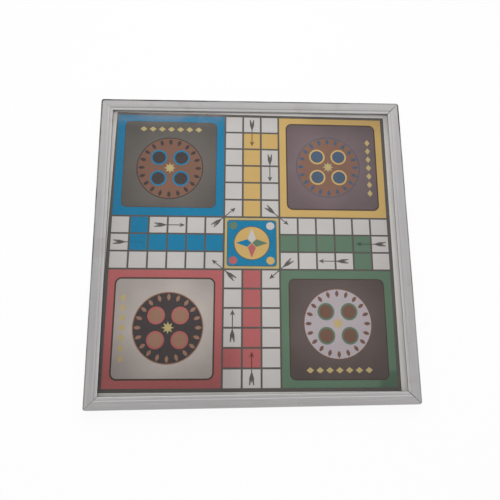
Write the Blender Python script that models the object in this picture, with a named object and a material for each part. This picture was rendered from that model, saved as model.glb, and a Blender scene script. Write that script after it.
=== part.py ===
"""Framed ludo board: a printed track under glass in a mitred aluminium frame.

Units are metres. +Z is up, +X runs to the right of a player at the front edge, +Y runs away from
that player. The origin is on the table, under the middle of the board.
"""

import math

import bmesh
import bpy
from mathutils import Matrix

MM = 0.001

# Printed track: a square of cells inside a dark border line
CELL_SIZE = 23.6 * MM
CELLS_PER_SIDE = 15
PRINT_BORDER = 3.5 * MM

# How the sheet lies in the frame: seen from above it is turned clockwise and sits to the left
SHEET_TURN = math.radians(-0.62)
SHEET_SHIFT = -3.4 * MM

# Sight opening and paper
OPENING_MARGIN = 3.9 * MM
SHEET_TUCK = 6.6 * MM
SHEET_THICKNESS = 0.3 * MM

# Glass and backing board
GLASS_THICKNESS = 3.0 * MM
BOARD_THICKNESS = 3.2 * MM
PANE_EDGE_CLEARANCE = 1.2 * MM
GLASS_ARRIS = 0.4 * MM

# Extruded rail section
FLANGE_WIDTH = 15.6 * MM
NOSE_WIDTH = 3.7 * MM
NOSE_STEP = 0.6 * MM
NOSE_DEPTH = 2.4 * MM
NOSE_RADIUS = 1.5 * MM
FLANGE_THICKNESS = 1.5 * MM
WALL = 1.4 * MM
CHANNEL_WIDTH = 11.2 * MM
SLOT_WIDTH = 5.0 * MM
OUTER_EDGE_RADIUS = 1.2 * MM
SMALL_RADIUS = 0.4 * MM
ARC_STEPS = 4

# Mitred corners, eased with a file
CORNER_RADIUS = 3.0 * MM
MITRE_GAP = 0.3 * MM

# Corner hardware in the lower channel
ANGLE_LEG = 45.0 * MM
ANGLE_THICKNESS = 2.5 * MM
PLATE_THICKNESS = 1.2 * MM
PLATE_SPACING = 1.2 * MM
PLATE_RADIUS = 1.5 * MM
CHANNEL_CLEARANCE = 0.3 * MM
SCREW_DIAMETER = 4.0 * MM
SCREW_CLEARANCE = 0.3 * MM
SCREW_REACH = 30.0 * MM
SCREW_DROP = 0.5 * MM
SCREW_CHAMFER = 0.3 * MM
SCREW_SLOT_WIDTH = 0.8 * MM
SCREW_SLOT_DEPTH = 1.0 * MM
ROUND_STEPS = 24

# Gap between pieces that rest on each other, and the distance at which points count as one
SEAT_GAP = 0.3 * MM
WELD_DISTANCE = 0.01 * MM

# Sizes in plan that follow from these
PRINT_SIDE = CELLS_PER_SIDE * CELL_SIZE + 2 * PRINT_BORDER
OPENING_SIDE = PRINT_SIDE + 2 * OPENING_MARGIN
FRAME_SIDE = OPENING_SIDE + 2 * FLANGE_WIDTH
HALF_SIDE = FRAME_SIDE / 2
SHEET_SIDE = OPENING_SIDE + 2 * SHEET_TUCK
PANE_SIDE = FRAME_SIDE - 2 * (WALL + PANE_EDGE_CLEARANCE)
FLAT_WIDTH = FLANGE_WIDTH - NOSE_WIDTH
CHANNEL_CENTRE = WALL + CHANNEL_WIDTH / 2

# Heights, stacked from the table up
ANGLE_BOTTOM = WALL + SEAT_GAP
PLATE_BOTTOM = ANGLE_BOTTOM + ANGLE_THICKNESS + PLATE_SPACING
SHELF_BOTTOM = PLATE_BOTTOM + PLATE_THICKNESS + SEAT_GAP
SHELF_TOP = SHELF_BOTTOM + WALL
BOARD_BOTTOM = SHELF_TOP + SEAT_GAP
SHEET_BOTTOM = BOARD_BOTTOM + BOARD_THICKNESS + SEAT_GAP
GLASS_BOTTOM = SHEET_BOTTOM + SHEET_THICKNESS + SEAT_GAP
NOSE_BOTTOM = GLASS_BOTTOM + GLASS_THICKNESS + SEAT_GAP
FRAME_HEIGHT = NOSE_BOTTOM + NOSE_DEPTH
SCREW_BOTTOM = ANGLE_BOTTOM - SCREW_DROP
SCREW_LENGTH = PLATE_BOTTOM - SEAT_GAP - SCREW_BOTTOM

# Rails and corners in order, each a quarter turn further anticlockwise from above
QUARTER_TURN = math.pi / 2
RAIL_NAMES = ("back", "left", "front", "right")
CORNER_NAMES = ("back_right", "back_left", "front_left", "front_right")
SMOOTH_ANGLE = math.radians(30)


def clear_scene():
    for old in list(bpy.data.objects):
        bpy.data.objects.remove(old, do_unlink=True)


def new_collection(name):
    collection = bpy.data.collections.new(name)
    bpy.context.scene.collection.children.link(collection)
    return collection


def make_material(name, colour, roughness, metallic, alpha=1.0):
    material = bpy.data.materials.new(name)
    material.use_nodes = True
    shader = material.node_tree.nodes["Principled BSDF"]
    shader.inputs["Base Color"].default_value = (*colour, 1.0)
    shader.inputs["Roughness"].default_value = roughness
    shader.inputs["Metallic"].default_value = metallic
    shader.inputs["Alpha"].default_value = alpha
    return material


def rounded_outline(corners):
    """Points of a closed outline. Each corner is (x, y, radius); a radius of 0 leaves it sharp."""
    points = []
    count = len(corners)
    for index, (x, y, radius) in enumerate(corners):
        if radius == 0:
            points.append((x, y))
            continue
        before_x, before_y, _ = corners[index - 1]
        after_x, after_y, _ = corners[(index + 1) % count]
        toward_before = math.atan2(before_y - y, before_x - x)
        toward_after = math.atan2(after_y - y, after_x - x)
        opening = (toward_after - toward_before + math.pi) % (2 * math.pi) - math.pi
        bisector = toward_before + opening / 2
        reach = radius / math.sin(abs(opening) / 2)
        centre_x = x + reach * math.cos(bisector)
        centre_y = y + reach * math.sin(bisector)
        sweep = math.copysign(math.pi - abs(opening), -opening)
        start = bisector + math.pi - sweep / 2
        for step in range(ARC_STEPS + 1):
            angle = start + sweep * step / ARC_STEPS
            points.append((centre_x + radius * math.cos(angle), centre_y + radius * math.sin(angle)))
    return points


def circle_points(x, y, radius):
    angles = [2 * math.pi * step / ROUND_STEPS for step in range(ROUND_STEPS)]
    return [(x + radius * math.cos(angle), y + radius * math.sin(angle)) for angle in angles]


def extruded_mesh(name, outlines, thickness):
    """A flat outline, with any further outlines as holes, filled and given a thickness about z = 0."""
    curve = bpy.data.curves.new(name, "CURVE")
    curve.dimensions = "2D"
    curve.fill_mode = "BOTH"
    curve.extrude = thickness / 2
    for outline in outlines:
        spline = curve.splines.new("POLY")
        spline.points.add(len(outline) - 1)
        for point, (x, y) in zip(spline.points, outline):
            point.co = (x, y, 0, 1)
        spline.use_cyclic_u = True
    holder = bpy.data.objects.new(name, curve)
    bpy.context.scene.collection.objects.link(holder)
    bpy.context.view_layer.update()
    evaluated = holder.evaluated_get(bpy.context.evaluated_depsgraph_get())
    mesh = bpy.data.meshes.new_from_object(evaluated)
    bpy.data.objects.remove(holder, do_unlink=True)
    bpy.data.curves.remove(curve)
    weld_mesh(mesh)
    mesh.name = name
    return mesh


def weld_mesh(mesh):
    shape = bmesh.new()
    shape.from_mesh(mesh)
    bmesh.ops.remove_doubles(shape, verts=shape.verts, dist=WELD_DISTANCE)
    bmesh.ops.recalc_face_normals(shape, faces=shape.faces)
    shape.to_mesh(mesh)
    shape.free()


def add_part(name, mesh, material, location=(0, 0, 0), turn=0.0):
    part = bpy.data.objects.new(name, mesh)
    parts.objects.link(part)
    part.location = location
    part.rotation_euler = (0, 0, turn)
    part.parent = board_origin
    if not mesh.materials:
        mesh.materials.append(material)
    return part


def add_cutter(name, mesh):
    cutter = bpy.data.objects.new(name, mesh)
    cutters.objects.link(cutter)
    cutter.hide_render = True
    cutter.display_type = "WIRE"
    return cutter


def combined_mesh(name, mesh, cutter, operation):
    """The mesh after one Boolean with a cutter, both taken about the origin."""
    blank = bpy.data.objects.new(name, mesh)
    bpy.context.scene.collection.objects.link(blank)
    boolean = blank.modifiers.new(operation.title(), "BOOLEAN")
    boolean.operation = operation
    boolean.solver = "EXACT"
    boolean.object = cutter
    bpy.context.view_layer.update()
    evaluated = blank.evaluated_get(bpy.context.evaluated_depsgraph_get())
    result = bpy.data.meshes.new_from_object(evaluated)
    bpy.data.objects.remove(blank, do_unlink=True)
    weld_mesh(result)
    result.name = name
    return result


def shade_round(mesh):
    mesh.shade_smooth()
    mesh.set_sharp_from_angle(angle=SMOOTH_ANGLE)


def slab_mesh(name, side, thickness, arris=0.0):
    """A square sheet standing on z = 0, its edges eased by an arris."""
    shape = bmesh.new()
    bmesh.ops.create_cube(shape, size=1.0)
    bmesh.ops.scale(shape, vec=(side, side, thickness), verts=shape.verts)
    bmesh.ops.translate(shape, vec=(0, 0, thickness / 2), verts=shape.verts)
    if arris:
        bmesh.ops.bevel(shape, geom=shape.edges[:], offset=arris, segments=1, affect="EDGES")
    mesh = bpy.data.meshes.new(name)
    shape.to_mesh(mesh)
    shape.free()
    return mesh


def rail_section():
    """Section of the rail: x runs inwards from the outer face, y runs up from the table.

    A flange with a stepped, rounded nose holds the glass down. Below it a shelf carries the pack of
    glass, print and board, and under the shelf a slotted channel takes the corner hardware.
    """
    top = FRAME_HEIGHT
    nose_top = top - NOSE_STEP
    web_inside = WALL + CHANNEL_WIDTH
    web_outside = web_inside + WALL
    slot_low = CHANNEL_CENTRE - SLOT_WIDTH / 2
    slot_high = CHANNEL_CENTRE + SLOT_WIDTH / 2
    corners = [
        (0, 0, SMALL_RADIUS),
        (0, top, OUTER_EDGE_RADIUS),
        (FLAT_WIDTH, top, SMALL_RADIUS),
        (FLAT_WIDTH, nose_top, 0),
        (FLANGE_WIDTH, nose_top, NOSE_RADIUS),
        (FLANGE_WIDTH, NOSE_BOTTOM, 0),
        (FLAT_WIDTH, NOSE_BOTTOM, 0),
        (FLAT_WIDTH, top - FLANGE_THICKNESS, 0),
        (WALL, top - FLANGE_THICKNESS, SMALL_RADIUS),
        (WALL, SHELF_TOP, SMALL_RADIUS),
        (web_outside, SHELF_TOP, SMALL_RADIUS),
        (web_outside, 0, SMALL_RADIUS),
        (slot_high, 0, SMALL_RADIUS),
        (slot_high, WALL, 0),
        (web_inside, WALL, SMALL_RADIUS),
        (web_inside, SHELF_BOTTOM, SMALL_RADIUS),
        (WALL, SHELF_BOTTOM, SMALL_RADIUS),
        (WALL, WALL, SMALL_RADIUS),
        (slot_low, WALL, 0),
        (slot_low, 0, SMALL_RADIUS),
    ]
    return rounded_outline(corners)


def rail_plan():
    """Plan of the back rail between its two mitres, with the outer corners rounded."""
    gap_along = MITRE_GAP / math.sqrt(2)
    arc_centre = HALF_SIDE - CORNER_RADIUS
    past_the_nose = HALF_SIDE - FLANGE_WIDTH - NOSE_WIDTH
    first_angle = math.pi / 4 + math.asin(gap_along / (math.sqrt(2) * CORNER_RADIUS))
    right_end = [(past_the_nose - gap_along, past_the_nose)]
    for step in range(ARC_STEPS + 1):
        angle = first_angle + (math.pi / 2 - first_angle) * step / ARC_STEPS
        x = arc_centre + CORNER_RADIUS * math.cos(angle)
        y = arc_centre + CORNER_RADIUS * math.sin(angle)
        right_end.append((x, y))
    left_end = [(-x, y) for x, y in reversed(right_end)]
    return right_end + left_end


def rail_mesh():
    """One mitred rail, in the place of the back rail."""
    mesh = extruded_mesh("rail", [rail_section()], FRAME_SIDE + 2 * FLANGE_WIDTH)
    stand_up = Matrix(((0, 0, -1, 0), (-1, 0, 0, HALF_SIDE), (0, 1, 0, 0), (0, 0, 0, 1)))
    mesh.transform(stand_up)
    plan = extruded_mesh("rail_plan", [rail_plan()], 4 * FRAME_HEIGHT)
    mitre_cutter = add_cutter("mitre_cutter", plan)
    mesh = combined_mesh("rail", mesh, mitre_cutter, "INTERSECT")
    shade_round(mesh)
    return mesh


def angle_outline():
    """Outline of a corner angle whose channel centre lines cross at the origin."""
    half_width = CHANNEL_WIDTH / 2 - CHANNEL_CLEARANCE
    corners = [
        (half_width, half_width, PLATE_RADIUS),
        (-ANGLE_LEG, half_width, PLATE_RADIUS),
        (-ANGLE_LEG, -half_width, PLATE_RADIUS),
        (-half_width, -half_width, PLATE_RADIUS),
        (-half_width, -ANGLE_LEG, PLATE_RADIUS),
        (half_width, -ANGLE_LEG, PLATE_RADIUS),
    ]
    return rounded_outline(corners)


def corner_angle_mesh():
    hole_radius = SCREW_DIAMETER / 2 + SCREW_CLEARANCE
    holes = [circle_points(x, y, hole_radius) for x, y in screw_places()]
    return extruded_mesh("corner_angle", [angle_outline()] + holes, ANGLE_THICKNESS)


def screw_places():
    return [(-SCREW_REACH, 0.0), (0.0, -SCREW_REACH)]


def set_screw_mesh():
    """A slotted set screw standing on z = 0, its slot in the lower end."""
    radius = SCREW_DIAMETER / 2
    shape = bmesh.new()
    bmesh.ops.create_cone(shape, cap_ends=True, segments=ROUND_STEPS, radius1=radius,
                          radius2=radius, depth=SCREW_LENGTH)
    bmesh.ops.translate(shape, vec=(0, 0, SCREW_LENGTH / 2), verts=shape.verts)
    rims = [edge for edge in shape.edges if abs(edge.verts[0].co.z - edge.verts[1].co.z) < SCREW_CHAMFER]
    bmesh.ops.bevel(shape, geom=rims, offset=SCREW_CHAMFER, segments=1, affect="EDGES")
    mesh = bpy.data.meshes.new("set_screw")
    shape.to_mesh(mesh)
    shape.free()
    slot = bmesh.new()
    bmesh.ops.create_cube(slot, size=1.0)
    bmesh.ops.scale(slot, vec=(2 * SCREW_DIAMETER, SCREW_SLOT_WIDTH, 2 * SCREW_SLOT_DEPTH),
                    verts=slot.verts)
    slot_mesh = bpy.data.meshes.new("screw_slot")
    slot.to_mesh(slot_mesh)
    slot.free()
    mesh = combined_mesh("set_screw", mesh, add_cutter("screw_slot_cutter", slot_mesh), "DIFFERENCE")
    shade_round(mesh)
    return mesh


def turned(x, y, quarter):
    """A plan point of the back right corner, moved to another corner by quarter turns."""
    for _ in range(quarter):
        x, y = -y, x
    return x, y


def build_rails():
    aluminium = make_material("satin_aluminium", (0.46, 0.45, 0.44), 0.42, 1.0)
    mesh = rail_mesh()
    for quarter, name in enumerate(RAIL_NAMES):
        add_part(f"rail_{name}", mesh, aluminium, turn=quarter * QUARTER_TURN)


def build_pack():
    """The glass, the printed sheet and the backing board that the rails hold."""
    glass = make_material("clear_glass", (0.93, 0.96, 0.94), 0.03, 0.0, alpha=0.25)
    paper = make_material("printed_paper", (0.52, 0.50, 0.49), 0.6, 0.0)
    hardboard = make_material("hardboard", (0.20, 0.11, 0.055), 0.75, 0.0)
    pane = slab_mesh("glass_pane", PANE_SIDE, GLASS_THICKNESS, GLASS_ARRIS)
    add_part("glass_pane", pane, glass, (0, 0, GLASS_BOTTOM))
    sheet = slab_mesh("printed_sheet", SHEET_SIDE, SHEET_THICKNESS)
    add_part("printed_sheet", sheet, paper, (SHEET_SHIFT, 0, SHEET_BOTTOM), SHEET_TURN)
    board = slab_mesh("backing_board", PANE_SIDE, BOARD_THICKNESS)
    add_part("backing_board", board, hardboard, (0, 0, BOARD_BOTTOM))


def build_corners():
    """Tapped angle, pressure plate and two set screws at each mitre."""
    zinc = make_material("zinc_plated_steel", (0.56, 0.55, 0.50), 0.38, 1.0)
    blackened = make_material("blackened_steel", (0.05, 0.05, 0.052), 0.45, 1.0)
    angle = corner_angle_mesh()
    plate = extruded_mesh("pressure_plate", [angle_outline()], PLATE_THICKNESS)
    screw = set_screw_mesh()
    centre = HALF_SIDE - CHANNEL_CENTRE
    angle_middle = ANGLE_BOTTOM + ANGLE_THICKNESS / 2
    plate_middle = PLATE_BOTTOM + PLATE_THICKNESS / 2
    for quarter, name in enumerate(CORNER_NAMES):
        turn = quarter * QUARTER_TURN
        x, y = turned(centre, centre, quarter)
        add_part(f"corner_angle_{name}", angle, zinc, (x, y, angle_middle), turn)
        add_part(f"pressure_plate_{name}", plate, zinc, (x, y, plate_middle), turn)
        for number, (along_x, along_y) in enumerate(screw_places(), start=1):
            x, y = turned(centre + along_x, centre + along_y, quarter)
            add_part(f"set_screw_{name}_{number}", screw, blackened, (x, y, SCREW_BOTTOM), turn)


clear_scene()
parts = new_collection("ludo_board")
cutters = new_collection("cutters")
board_origin = bpy.data.objects.new("board_origin", None)
parts.objects.link(board_origin)
build_rails()
build_pack()
build_corners()
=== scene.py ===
# %% [markdown]
# A framed ludo board
#
# The object is a flat, square board for the game of ludo. A printed paper sheet lies under a pane of
# glass on a hardboard back, and four mitred lengths of aluminium extrusion hold the pack together.
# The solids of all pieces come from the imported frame, which is loaded first and never moved. This
# script gives them their finish: smoother rails, the printed inks, glass, light and a camera.

# %% Load the frame
import math

import bmesh
import bpy
from mathutils import Matrix, Quaternion, Vector


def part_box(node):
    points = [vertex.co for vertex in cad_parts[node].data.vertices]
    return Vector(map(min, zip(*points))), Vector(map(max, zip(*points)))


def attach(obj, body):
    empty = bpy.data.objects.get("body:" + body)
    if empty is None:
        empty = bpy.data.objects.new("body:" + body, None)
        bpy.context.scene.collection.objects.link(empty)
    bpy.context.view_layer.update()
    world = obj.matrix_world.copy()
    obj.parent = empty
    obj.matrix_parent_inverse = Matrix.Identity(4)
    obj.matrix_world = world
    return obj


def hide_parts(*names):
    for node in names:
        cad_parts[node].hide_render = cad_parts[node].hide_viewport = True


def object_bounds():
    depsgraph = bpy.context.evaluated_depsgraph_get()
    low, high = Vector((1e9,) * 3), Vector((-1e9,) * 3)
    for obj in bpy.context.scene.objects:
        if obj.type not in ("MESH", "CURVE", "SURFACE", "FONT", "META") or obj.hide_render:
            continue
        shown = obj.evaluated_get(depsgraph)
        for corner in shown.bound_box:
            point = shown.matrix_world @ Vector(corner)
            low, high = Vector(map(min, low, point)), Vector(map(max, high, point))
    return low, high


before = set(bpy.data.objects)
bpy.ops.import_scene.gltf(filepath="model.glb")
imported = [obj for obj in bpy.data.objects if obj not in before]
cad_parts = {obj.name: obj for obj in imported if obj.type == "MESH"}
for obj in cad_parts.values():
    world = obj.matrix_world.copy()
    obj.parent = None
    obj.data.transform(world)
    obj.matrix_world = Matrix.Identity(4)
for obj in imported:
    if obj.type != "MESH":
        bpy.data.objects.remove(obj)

CAD_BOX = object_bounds()
print("nodes:", len(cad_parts), "box:", [tuple(round(x, 4) for x in corner) for corner in CAD_BOX])

# %% [markdown]
# What the frame already knows
#
# Sizes that the solids hold are read from them, so that nothing here can drift away from the frame.
# The paper lies a little crooked in its rails. Its turn is the angle at which the solid's far right
# corner lies from its middle, compared with the 45 degrees of a straight sheet.

# %% Read sizes and places from the frame
MM = 0.001
HALF_SIDE = CAD_BOX[1].x
FRAME_TOP = CAD_BOX[1].z
GLASS_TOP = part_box("glass_pane")[1].z
BACK_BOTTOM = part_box("backing_board")[0].z
SHEET_LOW, SHEET_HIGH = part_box("printed_sheet")
SHEET_TOP = SHEET_HIGH.z
SHEET_MIDDLE = (SHEET_LOW + SHEET_HIGH) / 2
sheet_points = [vertex.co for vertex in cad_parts["printed_sheet"].data.vertices]
far_right = max(sheet_points, key=lambda point: point.x + point.y)
SHEET_TURN = math.atan2(far_right.y - SHEET_MIDDLE.y, far_right.x - SHEET_MIDDLE.x) - math.pi / 4
print("sheet turned by", round(math.degrees(SHEET_TURN), 2), "degrees, top at", round(SHEET_TOP, 5))

# %% [markdown]
# The camera
#
# The photograph looks down on the board from above its near edge. Place, target, roll and lens were
# found by fitting a pinhole camera to the frame's four corners and to the lines of the track. The
# roll turns the camera about its own view axis, which a plain look-at rotation can't do. The small
# sideways shift is there because the picture was cropped a little off its middle.

# %% Set up the camera
CAMERA_PLACE = Vector((-25.8, -204.5, 744.6)) * MM
CAMERA_TARGET = Vector((26.9, -8.1, 18.4)) * MM
CAMERA_ROLL = math.radians(14.41)
CAMERA_LENS = 43.03
CAMERA_SENSOR = 36
CAMERA_SHIFT = -0.0507
scene = bpy.context.scene


def add_object(name, data):
    """A new object at the origin of the scene."""
    item = bpy.data.objects.new(name, data)
    scene.collection.objects.link(item)
    return item


camera = add_object("camera", bpy.data.cameras.new("camera"))
camera.data.lens = CAMERA_LENS
camera.data.sensor_width = CAMERA_SENSOR
camera.data.shift_x = CAMERA_SHIFT
camera.location = CAMERA_PLACE
straight_look = (CAMERA_TARGET - CAMERA_PLACE).to_track_quat("-Z", "Y")
camera.rotation_euler = (straight_look @ Quaternion((0, 0, 1), CAMERA_ROLL)).to_euler()
scene.camera = camera
scene.view_settings.view_transform = "Standard"
print("camera", round((CAMERA_TARGET - CAMERA_PLACE).length, 3), "m from its target")

# %% [markdown]
# Nodes in one line
#
# Shaders and geometry trees are both built from nodes. These helpers make a node, set its
# properties, and fill its inputs: a plain value is written on the socket, and an output of another
# node is linked to it. That keeps the trees below short enough to read. Most masks are ramps, given
# as four numbers: where the ramp starts and ends, and the value that it has at each of the two. A
# ramp that is given as two numbers runs from 0 to 1.

# %% Helpers for node trees
def fill_inputs(tree, node, inputs):
    for key, value in inputs.items():
        if isinstance(value, bpy.types.NodeSocket):
            tree.links.new(value, node.inputs[key])
        else:
            node.inputs[key].default_value = value


def add_node(tree, kind, inputs=None, **properties):
    node = tree.nodes.new(kind)
    for name, value in properties.items():
        setattr(node, name, value)
    fill_inputs(tree, node, inputs or {})
    return node


def math_node(tree, operation, first, second=0.0, third=0.0, **properties):
    inputs = {0: first, 1: second, 2: third}
    return add_node(tree, "ShaderNodeMath", inputs, operation=operation, **properties).outputs[0]


def times(tree, product, *factors):
    for factor in factors:
        product = math_node(tree, "MULTIPLY", product, factor)
    return product


def ramp(tree, value, start, end, from_level=0.0, to_level=1.0, smooth=True):
    kind = "SMOOTHSTEP" if smooth else "LINEAR"
    inputs = {"Value": value, "From Min": start, "From Max": end, "To Min": from_level, "To Max": to_level}
    return add_node(tree, "ShaderNodeMapRange", inputs, interpolation_type=kind).outputs["Result"]


def mixed_shader(tree, share, first, second):
    return add_node(tree, "ShaderNodeMixShader", {0: share, 1: first, 2: second}).outputs[0]


print("helpers for node trees are ready")

# %% [markdown]
# The sky
#
# The board was photographed in soft, even light. Its far rail is the brightest and the print grows a
# little darker towards the viewer. A pale sky does most of that: dim overhead, brighter towards the
# sides as in a studio with white walls, and leaning to the far side. The camera looks almost straight
# down, so the dim part is what glass and metal mirror, as a smooth gradient without the edges that a
# lamp would show. The levels lie on a curve over the height of a ray. A curve node's values end at 1,
# so its top stands for a level of 2, which leaves room above, and the lean multiplies that back up.

# %% Hang the sky
SKY_LEVELS = ((0.0, 1.0), (0.30, 0.84), (0.70, 0.74), (0.87, 0.64), (1.0, 0.40))
SKY_LEAN = 0.4
SKY_WHITE = (1.0, 0.99, 0.985, 1.0)
CURVE_TOP = 2.0
scene.world = bpy.data.worlds.new("studio_sky")
scene.world.use_nodes = True
sky = scene.world.node_tree
sky_way = add_node(sky, "ShaderNodeTexCoord").outputs["Generated"]
sky_parts = add_node(sky, "ShaderNodeSeparateXYZ", {0: sky_way}).outputs
sky_curve = add_node(sky, "ShaderNodeFloatCurve", {"Value": sky_parts["Z"]})
curve_points = sky_curve.mapping.curves[0].points
for height, level in SKY_LEVELS[1:-1]:
    curve_points.new(height, level / CURVE_TOP)
for index in (0, -1):
    height, level = SKY_LEVELS[index]
    curve_points[index].location = (height, level / CURVE_TOP)
sky_curve.mapping.extend = "HORIZONTAL"
sky_curve.mapping.update()
sky_lean = times(sky, sky_parts["Y"], sky_parts["Z"], SKY_LEAN)
lean_level = math_node(sky, "MULTIPLY_ADD", sky_lean, CURVE_TOP, CURVE_TOP)
sky_level = times(sky, sky_curve.outputs[0], lean_level)
fill_inputs(sky, sky.nodes["Background"], {"Strength": sky_level, "Color": SKY_WHITE})
print("sky from", SKY_LEVELS[0][1], "at the sides to", SKY_LEVELS[-1][1], "overhead")

# %% [markdown]
# The softbox
#
# One softbox over the far edge adds the falling brightness. A small lamp would do that too, but with
# hard shadows. The softbox is hidden from the camera and from mirrored rays, because its image would
# stand in the glass as a hard white square.

# %% Set up the softbox
SOFTBOX_PLACE = Vector((-0.06, 0.28, 0.78))
SOFTBOX_SIDE = 0.5
SOFTBOX_WATTS = 2.7
softbox = add_object("softbox", bpy.data.lights.new("softbox", "AREA"))
softbox.data.size = SOFTBOX_SIDE
softbox.data.energy = SOFTBOX_WATTS
softbox.visible_camera = False
softbox.visible_glossy = False
softbox.visible_transmission = False
softbox.location = SOFTBOX_PLACE
softbox.rotation_euler = (-SOFTBOX_PLACE).to_track_quat("-Z", "Y").to_euler()
print("softbox", SOFTBOX_WATTS, "W at", tuple(SOFTBOX_PLACE))

# %% [markdown]
# Floor
#
# The floor is a plain white sheet. For rays from the camera, and for those that metal and glass
# mirror or let through, most of it glows at strength 1, which is white. The rest is ordinary
# diffuse white, so the board still drops a faint shadow. The sheet has a window where the board
# covers it, and its back is clear, so that the underside can be lit and looked at from below.

# %% Lay the floor
FLOOR_REACH = 12.0
FLOOR_GLOW = 0.92
FLOOR_WHITE = (0.9, 0.9, 0.9, 1)
FLOOR_DROP = 0.1 * MM
WINDOW_HALF = HALF_SIDE - 2 * MM
WINDOW_PANEL = (1, 1)


def floor_material():
    material = bpy.data.materials.new("white_floor")
    material.use_nodes = True
    tree = material.node_tree
    tree.nodes.clear()
    path = add_node(tree, "ShaderNodeLightPath").outputs
    seen = math_node(tree, "ADD", path["Is Camera Ray"], path["Is Glossy Ray"])
    seen = math_node(tree, "ADD", seen, path["Is Transmission Ray"], use_clamp=True)
    white = add_node(tree, "ShaderNodeBsdfDiffuse", {"Color": FLOOR_WHITE}).outputs[0]
    glow = add_node(tree, "ShaderNodeEmission", {"Strength": 1.0}).outputs[0]
    top = mixed_shader(tree, times(tree, seen, FLOOR_GLOW), white, glow)
    clear = add_node(tree, "ShaderNodeBsdfTransparent").outputs[0]
    back = add_node(tree, "ShaderNodeNewGeometry").outputs["Backfacing"]
    add_node(tree, "ShaderNodeOutputMaterial", {"Surface": mixed_shader(tree, back, top, clear)})
    return material


floor_lines = (-FLOOR_REACH, -WINDOW_HALF, WINDOW_HALF, FLOOR_REACH)
floor_points = [(x, y, -FLOOR_DROP) for y in floor_lines for x in floor_lines]
floor_faces = []
row_step = len(floor_lines)
for row in range(row_step - 1):
    for column in range(row_step - 1):
        if (row, column) != WINDOW_PANEL:
            first = row * row_step + column
            floor_faces.append((first, first + 1, first + row_step + 1, first + row_step))
floor_mesh = bpy.data.meshes.new("floor")
floor_mesh.from_pydata(floor_points, [], floor_faces)
floor_mesh.materials.append(floor_material())
floor = add_object("floor", floor_mesh)
print("floor of", len(floor_faces), "panels with a window of", round(2 * WINDOW_HALF, 3), "m")

# %% [markdown]
# Round corners
#
# The section of the rails and the panels of the print are outlines with rounded corners. A Bevel
# modifier would round all corners of a mesh alike, but most of these have a radius of their own. So
# an outline is a list of corners with their radii, and a helper puts an arc in the place of each.

# %% Round the corners of an outline
def rounded_outline(corners, steps):
    """Points of a closed outline. Each corner is (x, y, radius), and a radius of 0 leaves it sharp."""
    points = []
    for index, (x, y, radius) in enumerate(corners):
        if radius == 0:
            points.append((x, y))
            continue
        before_x, before_y, _ = corners[index - 1]
        after_x, after_y, _ = corners[(index + 1) % len(corners)]
        toward_before = math.atan2(before_y - y, before_x - x)
        toward_after = math.atan2(after_y - y, after_x - x)
        opening = (toward_after - toward_before + math.pi) % (2 * math.pi) - math.pi
        bisector = toward_before + opening / 2
        reach = radius / math.sin(abs(opening) / 2)
        centre_x = x + reach * math.cos(bisector)
        centre_y = y + reach * math.sin(bisector)
        sweep = math.copysign(math.pi - abs(opening), -opening)
        start = bisector + math.pi - sweep / 2
        for step in range(steps + 1):
            angle = start + sweep * step / steps
            points.append((centre_x + radius * math.cos(angle), centre_y + radius * math.sin(angle)))
    return points


print("helper for rounded outlines is ready")

# %% [markdown]
# The rail section
#
# All four rails are cut from one aluminium extrusion. Its top has a broad flat with a rounded outer
# edge, a shoulder that slopes gently, a fine step, and a lower rounded nose that grips the glass. A
# shelf below carries the pack, and a slotted channel under it takes the corner hardware. The solid
# has this section with coarse arcs, a rounder outer edge and no slope. Here its corners are listed
# again and get finer arcs, because these small radii are what catches the light.

# %% Draw the section
FLANGE_WIDTH = 15.6 * MM
FLAT_WIDTH = 11.9 * MM
FLANGE_THICKNESS = 1.5 * MM
NOSE_STEP = 0.6 * MM
NOSE_RADIUS = 1.5 * MM
SHOULDER_START, SHOULDER_END = 9.9 * MM, 11.2 * MM
SHOULDER_DROP = 0.22 * MM
SHOULDER_RADIUS = 2.0 * MM
SEAT_GAP = 0.3 * MM
NOSE_BOTTOM = GLASS_TOP + SEAT_GAP
SHELF_TOP = BACK_BOTTOM - SEAT_GAP
WALL = 1.4 * MM
WEB_INSIDE = 12.6 * MM
SLOT_LOW, SLOT_HIGH = 4.5 * MM, 9.5 * MM
OUTER_EDGE_RADIUS = 0.8 * MM
SMALL_RADIUS = 0.4 * MM
SECTION_ARC_STEPS = 8


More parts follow.
